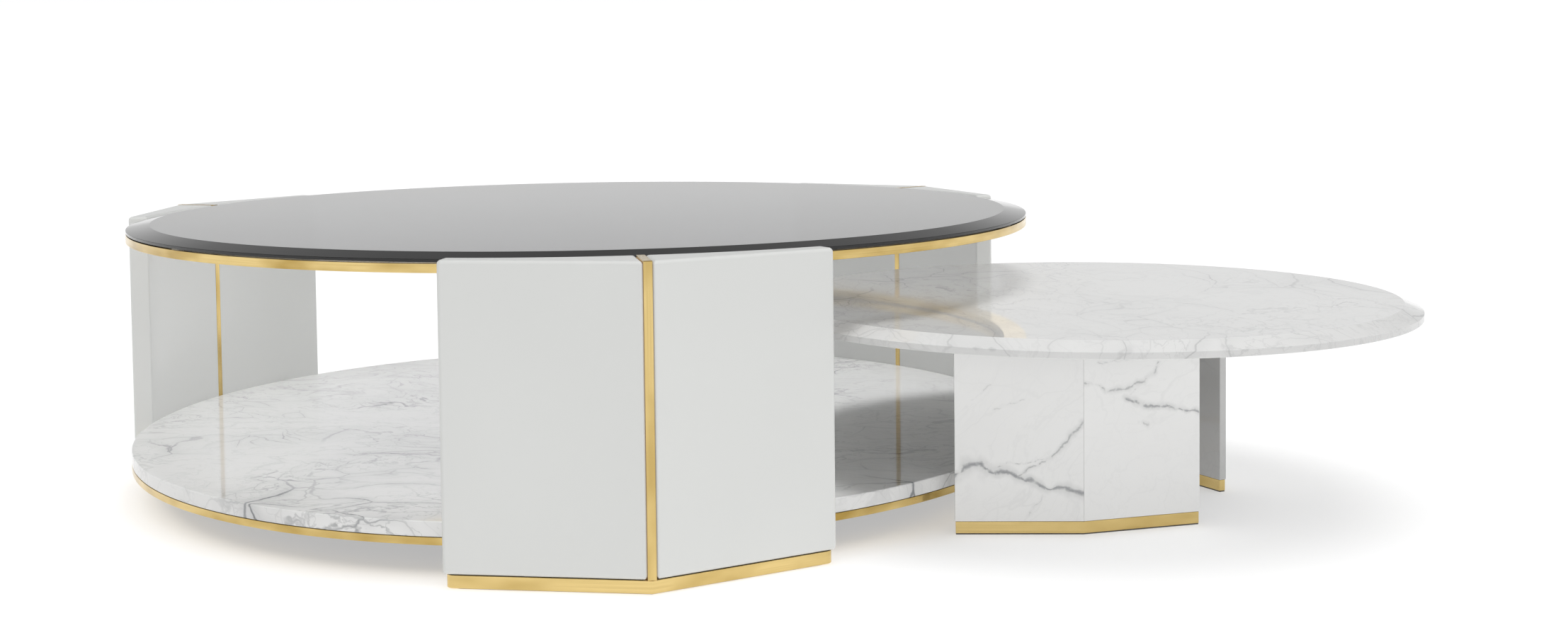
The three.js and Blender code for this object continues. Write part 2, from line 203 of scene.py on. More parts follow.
def finishes():
    return bpy.context.scene.table_finishes


# Mesh building. A corner is (x, y, fillet); a fillet of 0 is a plain point.


def inset_corners(corners, inset):
    """A counter-clockwise outline moved inwards, with its fillets kept parallel."""
    result = []
    for i, (x, y, fillet) in enumerate(corners):
        here = Vector((x, y))
        ahead = (Vector(corners[(i + 1) % len(corners)][:2]) - here).normalized()
        behind = (here - Vector(corners[i - 1][:2])).normalized()
        normals = [Vector((-d.y, d.x)) for d in (behind, ahead)]
        point = here + (normals[0] + normals[1]) * (inset / (1 + normals[0].dot(normals[1])))
        if fillet > 0:
            turn = behind.x * ahead.y - behind.y * ahead.x
            fillet = max(fillet - math.copysign(inset, turn), LEAST_FILLET)
        result.append((point.x, point.y, fillet))
    return result


def filleted(corners):
    """The outline's points, with an arc in place of each corner that has a fillet."""
    points = []
    for i, (x, y, fillet) in enumerate(corners):
        here = Vector((x, y))
        if fillet == 0:
            points.append(here)
            continue
        to_last = (Vector(corners[i - 1][:2]) - here).normalized()
        to_next = (Vector(corners[(i + 1) % len(corners)][:2]) - here).normalized()
        half = to_last.angle(to_next) / 2
        centre = here + (to_last + to_next).normalized() * (fillet / math.sin(half))
        start = here + to_last * (fillet / math.tan(half)) - centre
        finish = here + to_next * (fillet / math.tan(half)) - centre
        sweep = math.atan2(start.x * finish.y - start.y * finish.x, start.dot(finish))
        for step in range(FILLET_STEPS + 1):
            points.append(centre + Matrix.Rotation(sweep * step / FILLET_STEPS, 2) @ start)
    return points


def object_from_rings(name, rings, closed):
    """A mesh through rings of points that all have the same count. Closed joins the last ring to
    the first; otherwise the end rings are capped."""
    mesh = bpy.data.meshes.new(name)
    build = bmesh.new()
    rows = [[build.verts.new(p) for p in ring] for ring in rings]
    pairs = list(zip(rows, rows[1:]))
    if closed:
        pairs.append((rows[-1], rows[0]))
    for low, high in pairs:
        for i in range(len(low)):
            j = (i + 1) % len(low)
            build.faces.new((low[i], low[j], high[j], high[i]))
    if not closed:
        build.faces.new(list(reversed(rows[0])))
        build.faces.new(rows[-1])
    bmesh.ops.recalc_face_normals(build, faces=build.faces)
    for face in build.faces:
        face.smooth = True
    build.to_mesh(mesh)
    build.free()
    piece = bpy.data.objects.new(name, mesh)
    bpy.context.collection.objects.link(piece)
    weighted = piece.modifiers.new("Even normals", "WEIGHTED_NORMAL")
    weighted.weight = 100
    return piece


def rounded_prism(name, corners, base, top, edge):
    """An outline raised from base to top, with its lower and upper edges rounded."""
    quarter = [math.pi / 2 * step / EDGE_STEPS for step in range(EDGE_STEPS + 1)]
    lower = [(edge * (1 - math.sin(a)), base + edge * (1 - math.cos(a))) for a in quarter]
    upper = [(inset, top + base - z) for inset, z in reversed(lower)]
    rings = []
    for inset, z in lower + upper:
        points = filleted(inset_corners(corners, inset))
        rings.append([(p.x, p.y, z) for p in points])
    return object_from_rings(name, rings, closed=False)


def lathed(name, profile, steps, closed=False):
    """A solid of revolution about Z. A profile that isn't closed starts and ends on the axis,
    which its first and last corners stand on."""
    points = filleted(profile)
    if not closed:
        points = points[1:-1]
    rings = []
    for p in points:
        turns = [2 * math.pi * step / steps for step in range(steps)]
        rings.append([(p.x * math.cos(a), p.x * math.sin(a), p.y) for a in turns])
    return object_from_rings(name, rings, closed)


def disc(name, radius, low, high, fillet, steps=ROUND_STEPS):
    profile = [(0, low, 0), (radius, low, fillet), (radius, high, fillet), (0, high, 0)]
    return lathed(name, profile, steps)


def ring_band(name, outer, inner, low, high, fillet):
    corners = [(inner, low), (outer, low), (outer, high), (inner, high)]
    return lathed(name, [(r, z, fillet) for r, z in corners], ROUND_STEPS, closed=True)


def place(piece, body, slot, material, matrix, *nodes):
    """Puts a finished piece where it belongs, in place of the nodes that it stands for."""
    piece.data.transform(matrix)
    piece.data.materials.append(material)
    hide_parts(*nodes)
    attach(piece, body)


# Materials. Texture scales count repeats in a metre, and comments give them as a size.


# A colour Mix node's inputs, which share names with its plain ones, and its colour output.
SHARE, FIRST, SECOND = 0, 6, 7
MIXED = 2


def add(tree, kind, links=None, **settings):
    """Adds a node. Links maps an input's name or number to a value or to another node's socket."""
    node = tree.nodes.new(kind)
    for name, value in settings.items():
        setattr(node, name, value)
    for key, value in (links or {}).items():
        if isinstance(value, bpy.types.NodeSocket):
            tree.links.new(value, node.inputs[key])
        else:
            node.inputs[key].default_value = value
    return node


def new_material(name):
    """A material with an empty node tree."""
    material = bpy.data.materials.new(name)
    material.use_nodes = True
    material.node_tree.nodes.clear()
    return material, material.node_tree


def finish_material(tree, shader_inputs):
    """Adds the surface shader and joins it to the output."""
    shader = add(tree, "ShaderNodeBsdfPrincipled", shader_inputs)
    add(tree, "ShaderNodeOutputMaterial", {"Surface": shader.outputs[0]})


def warped(tree, point, noise_at, scale, detail, reach):
    """A point moved about by noise, by up to half of reach each way."""
    noise = add(tree, "ShaderNodeTexNoise", {"Vector": noise_at, "Scale": scale, "Detail": detail})
    offset = add(tree, "ShaderNodeVectorMath", {0: noise.outputs["Color"], 1: (0.5,) * 3},
                 operation="SUBTRACT")
    return add(tree, "ShaderNodeVectorMath", {0: offset.outputs[0], 1: (reach,) * 3, 2: point},
               operation="MULTIPLY_ADD").outputs[0]


def fissure_marks(tree, at, bedded, web):
    """Veins along closed joints in the stone, each with a faint halo, which fade in and out."""
    # Cells in a metre (480, 220 and 100 mm across), share of a cell that the vein fills, darkness,
    # and fades in a metre.
    fissures = ((2.1, 0.013, 0.85, 3.2), (4.6, 0.018, 0.62, 4.8), (10.0, 0.028, 0.36, 7.2))
    halo_width, halo_share = 7, 0.22
    marks = []
    for cells, width, dark, fades in fissures:
        cell = add(tree, "ShaderNodeTexVoronoi", {"Vector": bedded, "Scale": cells},
                   feature="DISTANCE_TO_EDGE").outputs["Distance"]
        fade = add(tree, "ShaderNodeTexNoise", {"Vector": at, "Scale": fades, "Detail": 3.0})
        shown = add(tree, "ShaderNodeMapRange", {
            "Value": fade.outputs["Fac"], "From Min": 0.48, "From Max": 0.64, "To Max": web})
        line = add(tree, "ShaderNodeMapRange", {
            "Value": cell, "From Max": width, "To Min": dark, "To Max": 0.0},
            interpolation_type="SMOOTHERSTEP")
        halo = add(tree, "ShaderNodeMapRange", {
            "Value": cell, "From Max": width * halo_width, "To Min": dark * halo_share, "To Max": 0.0},
            interpolation_type="SMOOTHSTEP")
        for mark in (line, halo):
            marks.append(add(tree, "ShaderNodeMath", {0: mark.outputs[0], 1: shown.outputs[0]},
                             operation="MULTIPLY").outputs[0])
    return marks


def thread_marks(tree, drifted, bedded, web):
    """Smoky streaks that follow the bed, thickest in drifting clusters."""
    cluster = add(tree, "ShaderNodeTexNoise", {"Vector": drifted, "Scale": 4.2, "Detail": 3.0})
    cluster = add(tree, "ShaderNodeMapRange", {
        "Value": cluster.outputs["Fac"], "From Min": 0.46, "From Max": 0.64, "To Min": 0.25}).outputs[0]
    # A thread lies where slow noise crosses its middle. Waves in a metre (380, 140 and 60 mm
    # long), how far off the middle the thread reaches, and darkness.
    threads = ((2.6, 0.010, 0.6 * web), (7.0, 0.018, 0.42 * web), (17.0, 0.02, 0.3 * web))
    marks = []
    for waves, width, dark in threads:
        wave = add(tree, "ShaderNodeTexNoise", {
            "Vector": bedded, "Scale": waves, "Detail": 5.0, "Roughness": 0.52}).outputs["Fac"]
        off = add(tree, "ShaderNodeMath", {0: wave, 1: 0.5}, operation="SUBTRACT")
        off = add(tree, "ShaderNodeMath", {0: off.outputs[0]}, operation="ABSOLUTE")
        line = add(tree, "ShaderNodeMapRange", {
            "Value": off.outputs[0], "From Max": width, "To Min": dark, "To Max": 0.0},
            interpolation_type="SMOOTHSTEP")
        marks.append(add(tree, "ShaderNodeMath", {0: line.outputs[0], 1: cluster},
                         operation="MULTIPLY").outputs[0])
    return marks


def bold_marks(tree, in_frame, veins):
    """Bold veins: each straight stretch by its distance, frayed, with smoke round it. A vein is its
    width in metres, its darkness, and its run of points."""
    smoke_width, smoke_share = 2.6, 0.3
    # Its edges fray by up to 6.5 mm over 14 mm, and it swells and thins by half over 30 mm.
    frayed = warped(tree, in_frame, in_frame, 70.0, 5.0, 0.013)
    swell = add(tree, "ShaderNodeTexNoise", {"Vector": in_frame, "Scale": 34.0, "Detail": 2.0})
    swell = add(tree, "ShaderNodeMapRange", {
        "Value": swell.outputs["Fac"], "From Min": 0.35, "From Max": 0.68,
        "To Min": 0.5, "To Max": 1.5}).outputs[0]
    stretches = [(width, dark, Vector(a), Vector(b)) for width, dark, run in veins
                 for a, b in zip(run, run[1:])]
    marks = []
    for width, dark, start, end in stretches:
        along = end - start
        away = add(tree, "ShaderNodeVectorMath", {0: frayed, 1: start}, operation="SUBTRACT")
        share = add(tree, "ShaderNodeVectorMath",
                    {0: away.outputs[0], 1: along / along.length_squared}, operation="DOT_PRODUCT")
        share = add(tree, "ShaderNodeClamp", {"Value": share.outputs["Value"]})
        foot = add(tree, "ShaderNodeVectorMath", {0: along, "Scale": share.outputs[0]},
                   operation="SCALE")
        gap = add(tree, "ShaderNodeVectorMath", {0: away.outputs[0], 1: foot.outputs[0]},
                  operation="DISTANCE")
        reach = add(tree, "ShaderNodeMath", {0: swell, 1: width}, operation="MULTIPLY")
        smoke = add(tree, "ShaderNodeMath", {0: reach.outputs[0], 1: smoke_width}, operation="MULTIPLY")
        for edge, strength in ((reach, dark), (smoke, dark * smoke_share)):
            marks.append(add(tree, "ShaderNodeMapRange", {
                "Value": gap.outputs["Value"], "From Max": edge.outputs[0],
                "To Min": strength, "To Max": 0.0}, interpolation_type="SMOOTHSTEP").outputs[0])
    return marks


def polished_marble(name, matrix, shift, turn, web, veins=()):
    """Polished white marble: a bright, faintly clouded ground with grey veins that fork, fade and
    thicken, under a wet-looking polish. Matrix is the piece's frame, and shift and turn say which
    part of the block it was sawn from. Web is how strong the fine network shows, and veins are the
    bold ones, in the piece's frame."""
    material, tree = new_material(name)
    on_piece = add(tree, "ShaderNodeTexCoord").outputs["Object"]
    marble, vein = tuple(finishes().marble), tuple(finishes().vein)
    in_frame = add(tree, "ShaderNodeMapping", {
        "Vector": on_piece, "Location": matrix.translation, "Rotation": matrix.to_euler()},
        vector_type="TEXTURE").outputs[0]
    at = add(tree, "ShaderNodeMapping",
             {"Vector": in_frame, "Location": shift, "Rotation": turn}).outputs[0]
    # The bed of the stone wanders by up to 170 mm over half a metre, and by 13 mm over 48 mm.
    drifted = warped(tree, at, at, 2.0, 3.0, 0.34)
    jittered = warped(tree, drifted, at, 21.0, 4.0, 0.026)
    bedded = add(tree, "ShaderNodeMapping", {"Vector": jittered, "Scale": (1.0, 2.1, 1.5)}).outputs[0]

    marks = fissure_marks(tree, at, bedded, web) + thread_marks(tree, drifted, bedded, web)
    if veins:
        marks += bold_marks(tree, in_frame, veins)
    strongest = marks[0]
    for mark in marks[1:]:
        strongest = add(tree, "ShaderNodeMath", {0: strongest, 1: mark}, operation="MAXIMUM").outputs[0]

    # Clouds are about 300 mm across.
    cloud = add(tree, "ShaderNodeTexNoise", {"Vector": drifted, "Scale": 3.4, "Detail": 6.0})
    cloud = add(tree, "ShaderNodeMapRange", {
        "Value": cloud.outputs["Fac"], "From Min": 0.42, "From Max": 0.75, "To Max": 0.13 * web})
    ground = add(tree, "ShaderNodeMix", {SHARE: cloud.outputs[0], FIRST: marble, SECOND: vein},
                 data_type="RGBA").outputs[MIXED]
    colour = add(tree, "ShaderNodeMix", {SHARE: strongest, FIRST: ground, SECOND: vein},
                 data_type="RGBA").outputs[MIXED]
    # Veins are softer than the ground, so they take the polish a little less.
    gloss = add(tree, "ShaderNodeMapRange", {"Value": strongest, "To Min": 0.03, "To Max": 0.10})
    finish_material(tree, {"Base Color": colour, "Roughness": gloss.outputs[0], "IOR": 1.49})
    return material


def polished_brass(name, grain, reflection_depth):
    """Drawn brass strip, machine polished: warm yellow, mirror-like, with streaks along the way
    that it was drawn, and painted dark reflections that deepen its colour in stretched blotches
    and along the streaks. Grain is level or upright, and the last setting is how far the painted
    reflections deepen the colour."""
    material, tree = new_material(name)
    on_piece = add(tree, "ShaderNodeTexCoord").outputs["Object"]
    # Draw lines are under 0.1 mm apart; they are drawn 2 mm apart and 250 mm long so that they
    # show. The painted dark reflections lie in blotches of 33 mm, three times as long along the strip.
    across, along = 500.0, 4.0
    reflection_across, reflection_along = 30.0, 10.0
    level = grain == "level"
    line_scale = (along, along, across) if level else (across, across, along)
    reflection_scale = ((reflection_along, reflection_along, reflection_across) if level
                   else (reflection_across, reflection_across, reflection_along))
    stretched = add(tree, "ShaderNodeMapping", {"Vector": on_piece, "Scale": line_scale}).outputs[0]
    streak = add(tree, "ShaderNodeTexNoise", {"Vector": stretched, "Scale": 1.0, "Detail": 3.0})
    streak = streak.outputs["Fac"]
    stretched = add(tree, "ShaderNodeMapping", {"Vector": on_piece, "Scale": reflection_scale}).outputs[0]
    reflection_noise = add(tree, "ShaderNodeTexNoise", {"Vector": stretched, "Scale": 1.0, "Detail": 2.0})
    brass = tuple(finishes().brass)
    # Painted dark reflections: a shaded copy of the brass, mixed in over stretched blotches and along the
    # streaks.
    shaded_share = (0.56, 0.49, 0.30, 1.0)
    shaded_brass = tuple(channel * share for channel, share in zip(brass, shaded_share))
    painted_reflection = add(tree, "ShaderNodeMapRange", {
        "Value": reflection_noise.outputs["Fac"], "From Min": 0.35, "From Max": 0.7, "To Max": reflection_depth})
    # The streaks also deepen the colour by up to 0.3, as painted streaky reflections.
    streak_shading = add(tree, "ShaderNodeMapRange", {
        "Value": streak, "From Min": 0.3, "From Max": 0.7, "To Max": 0.3})
    painted_shading = add(tree, "ShaderNodeMath", {0: painted_reflection.outputs[0], 1: streak_shading.outputs[0]},
                 operation="MAXIMUM")
    colour = add(tree, "ShaderNodeMix", {SHARE: painted_shading.outputs[0], FIRST: brass, SECOND: shaded_brass},
                 data_type="RGBA")
    gloss = add(tree, "ShaderNodeMapRange", {
        "Value": streak, "From Min": 0.3, "From Max": 0.7, "To Min": 0.10, "To Max": 0.24})
    bump = add(tree, "ShaderNodeBump", {"Strength": 0.14, "Distance": 0.2 * MM, "Height": streak})
    finish_material(tree, {"Base Color": colour.outputs[MIXED], "Metallic": 1.0,
                           "Roughness": gloss.outputs[0], "Normal": bump.outputs[0]})
    return material


def sprayed_lacquer(name):
    """White polyurethane lacquer, sprayed on board and buffed to a satin gloss: a soft even white
    with a slow ripple in its reflections and a hint of build-up in tone."""
    material, tree = new_material(name)
    on_piece = add(tree, "ShaderNodeTexCoord").outputs["Object"]
    # Orange peel is a 1.5 mm ripple; a broad 200 mm unevenness comes from the board.
    peel = add(tree, "ShaderNodeTexNoise", {"Vector": on_piece, "Scale": 650.0, "Detail": 1.0})
    board = add(tree, "ShaderNodeTexNoise", {"Vector": on_piece, "Scale": 5.0, "Detail": 0.0})
    lacquer = tuple(finishes().lacquer)
    build_up = 0.95
    shade = tuple(channel * build_up for channel in lacquer[:3]) + (1.0,)
    colour = add(tree, "ShaderNodeMix", {SHARE: board.outputs["Fac"], FIRST: lacquer, SECOND: shade},
                 data_type="RGBA")
    gloss = add(tree, "ShaderNodeMapRange", {
        "Value": board.outputs["Fac"], "To Min": 0.29, "To Max": 0.36})
    bump = add(tree, "ShaderNodeBump", {
        "Strength": 0.03, "Distance": 0.04 * MM, "Height": peel.outputs["Fac"]})
    finish_material(tree, {"Base Color": colour.outputs[MIXED], "Roughness": gloss.outputs[0],
                           "IOR": 1.5, "Normal": bump.outputs[0], "Coat Weight": 0.35,
                           "Coat Roughness": 0.12})
    return material


def smoked_glass(name):
    """Grey smoked float glass, dark through its thickness and polished: almost black where it is
    looked into, and a pale mirror at a low angle."""
    material, tree = new_material(name)
    on_piece = add(tree, "ShaderNodeTexCoord").outputs["Object"]
    # Wiping leaves broad smears, about 170 mm across.
    wipe = add(tree, "ShaderNodeTexNoise", {"Vector": on_piece, "Scale": 6.0, "Detail": 5.0})
    gloss = add(tree, "ShaderNodeMapRange", {
        "Value": wipe.outputs["Fac"], "From Min": 0.3, "From Max": 0.75,
        "To Min": 0.015, "To Max": 0.045})
    finish_material(tree, {"Base Color": tuple(finishes().glass), "Roughness": gloss.outputs[0],
                           "IOR": 1.52, "Transmission Weight": 1.0})
    return material


def birch_plywood(name, pale, dark):
    """Birch plywood, peeled and pressed: faces with drifting grain, raw tan or stained."""
    material, tree = new_material(name)
    on_piece = add(tree, "ShaderNodeTexCoord").outputs["Object"]
    # The grain runs for 170 mm and is 11 mm wide, and a ply is 1.7 mm thick.
    grain_scale = (6.0, 90.0, 600.0)
    along_grain = add(tree, "ShaderNodeMapping", {"Vector": on_piece, "Scale": grain_scale})
    grain = add(tree, "ShaderNodeTexNoise", {
        "Vector": along_grain.outputs[0], "Scale": 1.0, "Detail": 5.0}).outputs["Fac"]
    colour = add(tree, "ShaderNodeMix", {SHARE: grain, FIRST: linear(pale), SECOND: linear(dark)},
                 data_type="RGBA")
    bump = add(tree, "ShaderNodeBump", {"Strength": 0.3, "Distance": 0.2 * MM, "Height": grain})
    finish_material(tree, {"Base Color": colour.outputs[MIXED], "Roughness": 0.68,
                           "Normal": bump.outputs[0]})
    return material


def zinc_steel(name):
    """Bright zinc-plated steel screws: cool grey metal with a spangled sheen."""
    material, tree = new_material(name)
    on_piece = add(tree, "ShaderNodeTexCoord").outputs["Object"]
    # Spangles are about 1.1 mm across.
    spangle = add(tree, "ShaderNodeTexVoronoi", {"Vector": on_piece, "Scale": 900.0})
    gloss = add(tree, "ShaderNodeMapRange", {
        "Value": spangle.outputs["Distance"], "To Min": 0.25, "To Max": 0.42})
    finish_material(tree, {"Base Color": linear("#b9bdc1"), "Metallic": 1.0,
                           "Roughness": gloss.outputs[0]})
    return material


def powder_coat(name):
    """Matt black powder coat on steel: a fine pebbled skin that breaks up highlights."""
    material, tree = new_material(name)
    on_piece = add(tree, "ShaderNodeTexCoord").outputs["Object"]
    # Pebbles are about 1.1 mm across.
    pebble = add(tree, "ShaderNodeTexNoise", {
        "Vector": on_piece, "Scale": 900.0, "Detail": 2.0}).outputs["Fac"]
    gloss = add(tree, "ShaderNodeMapRange", {"Value": pebble, "To Min": 0.5, "To Max": 0.72})
    bump = add(tree, "ShaderNodeBump", {"Strength": 0.35, "Distance": 0.1 * MM, "Height": pebble})
    finish_material(tree, {"Base Color": linear("#26262a"), "Roughness": gloss.outputs[0],
                           "Normal": bump.outputs[0]})
    return material


def clear_silicone(name):
    """Clear silicone bumper, moulded: slightly cloudy, with soft highlights."""
    material, tree = new_material(name)
    on_piece = add(tree, "ShaderNodeTexCoord").outputs["Object"]
    # The cloudiness varies over about 3 mm.
    cloud = add(tree, "ShaderNodeTexNoise", {"Vector": on_piece, "Scale": 300.0, "Detail": 2.0})
    colour = add(tree, "ShaderNodeMix", {
        SHARE: cloud.outputs["Fac"], FIRST: linear("#dfe2e3"), SECOND: linear("#c6cacc")},
        data_type="RGBA")
    finish_material(tree, {"Base Color": colour.outputs[MIXED], "Roughness": 0.35, "IOR": 1.41})
    return material


def pressed_felt(name):
    """Pressed grey wool felt: matt, with tangled fibres and a soft halo at its edges."""
    material, tree = new_material(name)
    on_piece = add(tree, "ShaderNodeTexCoord").outputs["Object"]
    # Tufts of fibre are about 0.7 mm across.
    fibre = add(tree, "ShaderNodeTexNoise", {
        "Vector": on_piece, "Scale": 1400.0, "Detail": 4.0, "Distortion": 1.5}).outputs["Fac"]
    colour = add(tree, "ShaderNodeMix", {
        SHARE: fibre, FIRST: linear("#6a6763"), SECOND: linear("#33312f")}, data_type="RGBA")
    bump = add(tree, "ShaderNodeBump", {"Strength": 0.7, "Distance": 0.3 * MM, "Height": fibre})
    finish_material(tree, {"Base Color": colour.outputs[MIXED], "Roughness": 0.95,
                           "Normal": bump.outputs[0], "Sheen Weight": 0.3})
    return material


def matt_paper(name):
    """Seamless studio paper: matt and nearly white."""
    material, tree = new_material(name)
    finish_material(tree, {"Base Color": linear("#f6f6f6"), "Roughness": 1.0,
                           "Specular IOR Level": 0.0})
    return material


def shared(maker, name, *settings):
    """The material of that name, made once."""
    return bpy.data.materials.get(name) or maker(name, *settings)


# Legs


def leg_matrix(name):
    turn = heading(f"{name}_leg_plinth", LARGE_AXIS)
    at = Vector((LARGE_AXIS.x, LARGE_AXIS.y, 0))
    return Matrix.Translation(at) @ Matrix.Rotation(turn, 4, "Z")


def small_leg_matrix(name):
    turn = heading(f"{name}_stone_plinth", SMALL_BASE_AXIS)
    at = Vector((SMALL_BASE_AXIS.x, SMALL_BASE_AXIS.y, 0))
    return Matrix.Translation(at) @ Matrix.Rotation(turn, 4, "Z")


def face_point(fold, sweep, along, inwards):
    """A point on a folded leg's outer face: along it from the fold, and in from it."""
    return (fold - along * math.sin(sweep) - inwards * math.cos(sweep),
            along * math.cos(sweep) - inwards * math.sin(sweep))


def face_point_at(fold, sweep, y, inset):
    """The point at a given y on the outer face moved in by inset."""
    return face_point(fold, sweep, (y + inset * math.sin(sweep)) / math.cos(sweep), inset)


def half_leg_corners(start, inset, end_inset, fillets):
    """One side of a large leg's plan, from y = start. Fillets are for the outer corner at the
    fold, the outer and inner corners at the end, and the inner corner at the fold."""
    s = sizes()
    inner = TOP_RADIUS + s.wrap_clearance
    fold = inner + s.fold_depth
    inner += inset
    along = s.panel_width - end_inset
    x, y = face_point(fold, s.panel_sweep, along, 0)
    reach = x * math.cos(s.panel_sweep) + y * math.sin(s.panel_sweep)
    depth = reach - math.sqrt(reach ** 2 - (x ** 2 + y ** 2 - inner ** 2))
    end = face_point(fold, s.panel_sweep, along, depth)
    first, last = math.atan2(end[1], end[0]), math.asin(start / inner)
    steps = math.ceil((first - last) / ARC_STEP)
    between = [first + (last - first) * i / steps for i in range(1, steps)]
    curve = [(inner * math.cos(a), inner * math.sin(a), 0) for a in between]
    return [
        (*face_point_at(fold, s.panel_sweep, start, inset), fillets[0]),
        (*face_point(fold, s.panel_sweep, along, inset), fillets[1]),
        (*end, fillets[2]), *curve,
        (inner * math.cos(last), inner * math.sin(last), fillets[3]),
    ]


def flipped(corners):
    return [(x, -y, fillet) for x, y, fillet in reversed(corners)]


def whole_leg_corners(inset, end_inset, fillet, end_fillet):
    """Both sides of a large leg's plan as one outline, with its own fillet on the outer end corners."""
    half = half_leg_corners(0, inset, end_inset, (fillet, end_fillet, fillet, 0))
    return half + flipped(half[1:-1])


def small_leg_corners(start, inset, fillet):
    """One mitred side of a small leg's plan, from y = start."""
    s = sizes()
    fold, sweep = s.small_fold, s.small_sweep
    back = s.small_thickness - inset
    along = s.small_width - inset
    points = [face_point_at(fold, sweep, start, inset), face_point(fold, sweep, along, inset),
              face_point(fold, sweep, along, back), face_point_at(fold, sweep, start, back)]
    return [(x, y, fillet) for x, y in points]


def whole_small_corners(inset, fillet):
    half = small_leg_corners(0, inset, fillet)
    return half + flipped(half[1:-1])


class TABLES_OT_lacquer_panels(bpy.types.Operator):
    """Six folded white panels that carry the large table"""

    bl_idname = "tables.lacquer_panels"
    bl_label = "Lacquered Panels"

    def execute(self, context):
        s = sizes()
        gap = 0.3 * MM
        inner_edge = 2.5 * MM
        fillets = (s.seam_fillet, s.panel_edge, inner_edge, s.metal_edge)
        corners = half_leg_corners(s.seam_width / 2 + gap, 0, 0, fillets)
        for name in LEGS:
            for side, sign in SIDES:
                node = f"{name}_leg_panel_{side}"
                low, high = levels(node)
                outline = corners if sign > 0 else flipped(corners)
                piece = rounded_prism(f"{name}_panel_{side}", outline, low, high, s.panel_edge)
                place(piece, "large_table", "white_lacquer", shared(sprayed_lacquer, "satin white lacquer"),
                      leg_matrix(name), node)
        return {"FINISHED"}


class TABLES_OT_inlays(bpy.types.Operator):
    """Brass strips folded over the seam of each large leg"""

    bl_idname = "tables.inlays"
    bl_label = "Brass Inlays"

    def execute(self, context):
        s = sizes()
        inner = TOP_RADIUS + s.wrap_clearance
        outer = face_point_at(inner + s.fold_depth, s.panel_sweep, s.seam_width / 2, 0)[0]
        t, bend = s.inlay_thickness, 1.2 * MM
        brass = shared(polished_brass, "drawn brass, upright", "upright", 0.7)
        for name in LEGS:
            low, high = levels(f"{name}_leg_inlay")
            edge = s.metal_edge
            corners = [
                (outer, low, edge), (outer, high, bend), (inner, high, bend), (inner, low, edge),
                (inner + t, low, edge), (inner + t, high - t, edge), (outer - t, high - t, edge),
                (outer - t, low, edge)]
            piece = rounded_prism(f"{name}_inlay", corners, 0, s.seam_width, edge)
            upright = Matrix.Translation((0, s.seam_width / 2, 0)) @ Matrix.Rotation(math.pi / 2, 4, "X")
            piece.data.transform(upright)
            place(piece, "large_table", "polished_brass", brass, leg_matrix(name), f"{name}_leg_inlay")
        return {"FINISHED"}


class TABLES_OT_plinths(bpy.types.Operator):
    """Brass plinths and felt soles under all five legs"""

    bl_idname = "tables.plinths"
    bl_label = "Plinths and Soles"

    def execute(self, context):
        s = sizes()
        brass = shared(polished_brass, "drawn brass, level", "level", 0.6)
        felt = shared(pressed_felt, "pressed wool felt")
        end_inset, sole_inset, felt_edge = 3 * MM, 7 * MM, 0.4 * MM
        end_fillet = 12 * MM
        plinth = whole_leg_corners(s.plinth_inset, end_inset, s.metal_edge, end_fillet)
        sole = whole_leg_corners(sole_inset, end_inset + sole_inset, felt_edge, end_fillet)
        for name in LEGS:
            matrix = leg_matrix(name)
            piece = rounded_prism(f"{name}_plinth", plinth, *levels(f"{name}_leg_plinth"), s.metal_edge)
            place(piece, "large_table", "polished_brass", brass, matrix, f"{name}_leg_plinth")
            piece = rounded_prism(f"{name}_sole", sole, *levels(f"{name}_leg_sole"), felt_edge)
            place(piece, "large_table", "felt", felt, matrix, f"{name}_leg_sole")
        small_inset, lap = 1 * MM, 0.3 * MM
        plinth = whole_small_corners(small_inset, s.metal_edge)
        sole = whole_small_corners(small_inset + lap, felt_edge)
        for name, _ in SMALL_LEGS:
            matrix = small_leg_matrix(name)
            piece = rounded_prism(f"{name}_small_plinth", plinth, *levels(f"{name}_stone_plinth"),
                                  s.metal_edge)
            place(piece, "small_table", "polished_brass", brass, matrix, f"{name}_stone_plinth")
            piece = rounded_prism(f"{name}_small_sole", sole, *levels(f"{name}_stone_sole"), felt_edge)
            place(piece, "small_table", "felt", felt, matrix, f"{name}_stone_sole")
        return {"FINISHED"}


# Bold veins on the near leg's panels: width in millimetres, darkness, and a run of points, each
# the distance along the panel from the fold and the height, in millimetres.
NEAR_LEFT_VEINS = (
    (5.2, 0.85, ((175, 82), (159, 94), (140, 98), (130, 88), (122, 84), (106, 87), (92, 79))),
    (4.4, 0.80, ((92, 79), (75, 75), (59, 66), (46, 62), (25, 65), (0, 56))),
    (2.4, 0.62, ((92, 79), (72, 92), (46, 104), (30, 122), (12, 141), (0, 155))),
    (1.5, 0.50, ((117, 90), (104, 99), (88, 97), (70, 99), (46, 106))),
    (1.8, 0.32, ((56, 55), (64, 40), (80, 26))),
    (1.6, 0.30, ((150, 186), (140, 195), (126, 205))),
    (1.6, 0.34, ((120, 171), (104, 178), (80, 184))),
)
NEAR_RIGHT_VEINS = (
    (2.8, 0.58, ((2, 207), (17, 204), (32, 195), (52, 196), (76, 200), (92, 206), (108, 218), (112, 228))),
    (3.2, 0.75, ((64, 182), (80, 174), (98, 169), (125, 167), (150, 162), (174, 158))),
    (2.0, 0.38, ((20, 234), (35, 232), (58, 236), (93, 244))),
    (2.4, 0.45, ((84, 149), (96, 145))),
    (1.4, 0.34, ((70, 188), (82, 198))),
)


def veins_on_panel(veins, sign):
    """The same veins with each point as (x, y, z) in metres in the leg's own frame."""
    s = sizes()
    result = []
    for width, dark, run in veins:
        points = []
        for along, height in run:
            x, y = face_point(s.small_fold, s.small_sweep, along * MM, 0)
            points.append((x, sign * y, height * MM))
        result.append((width * MM, dark, points))
    return result


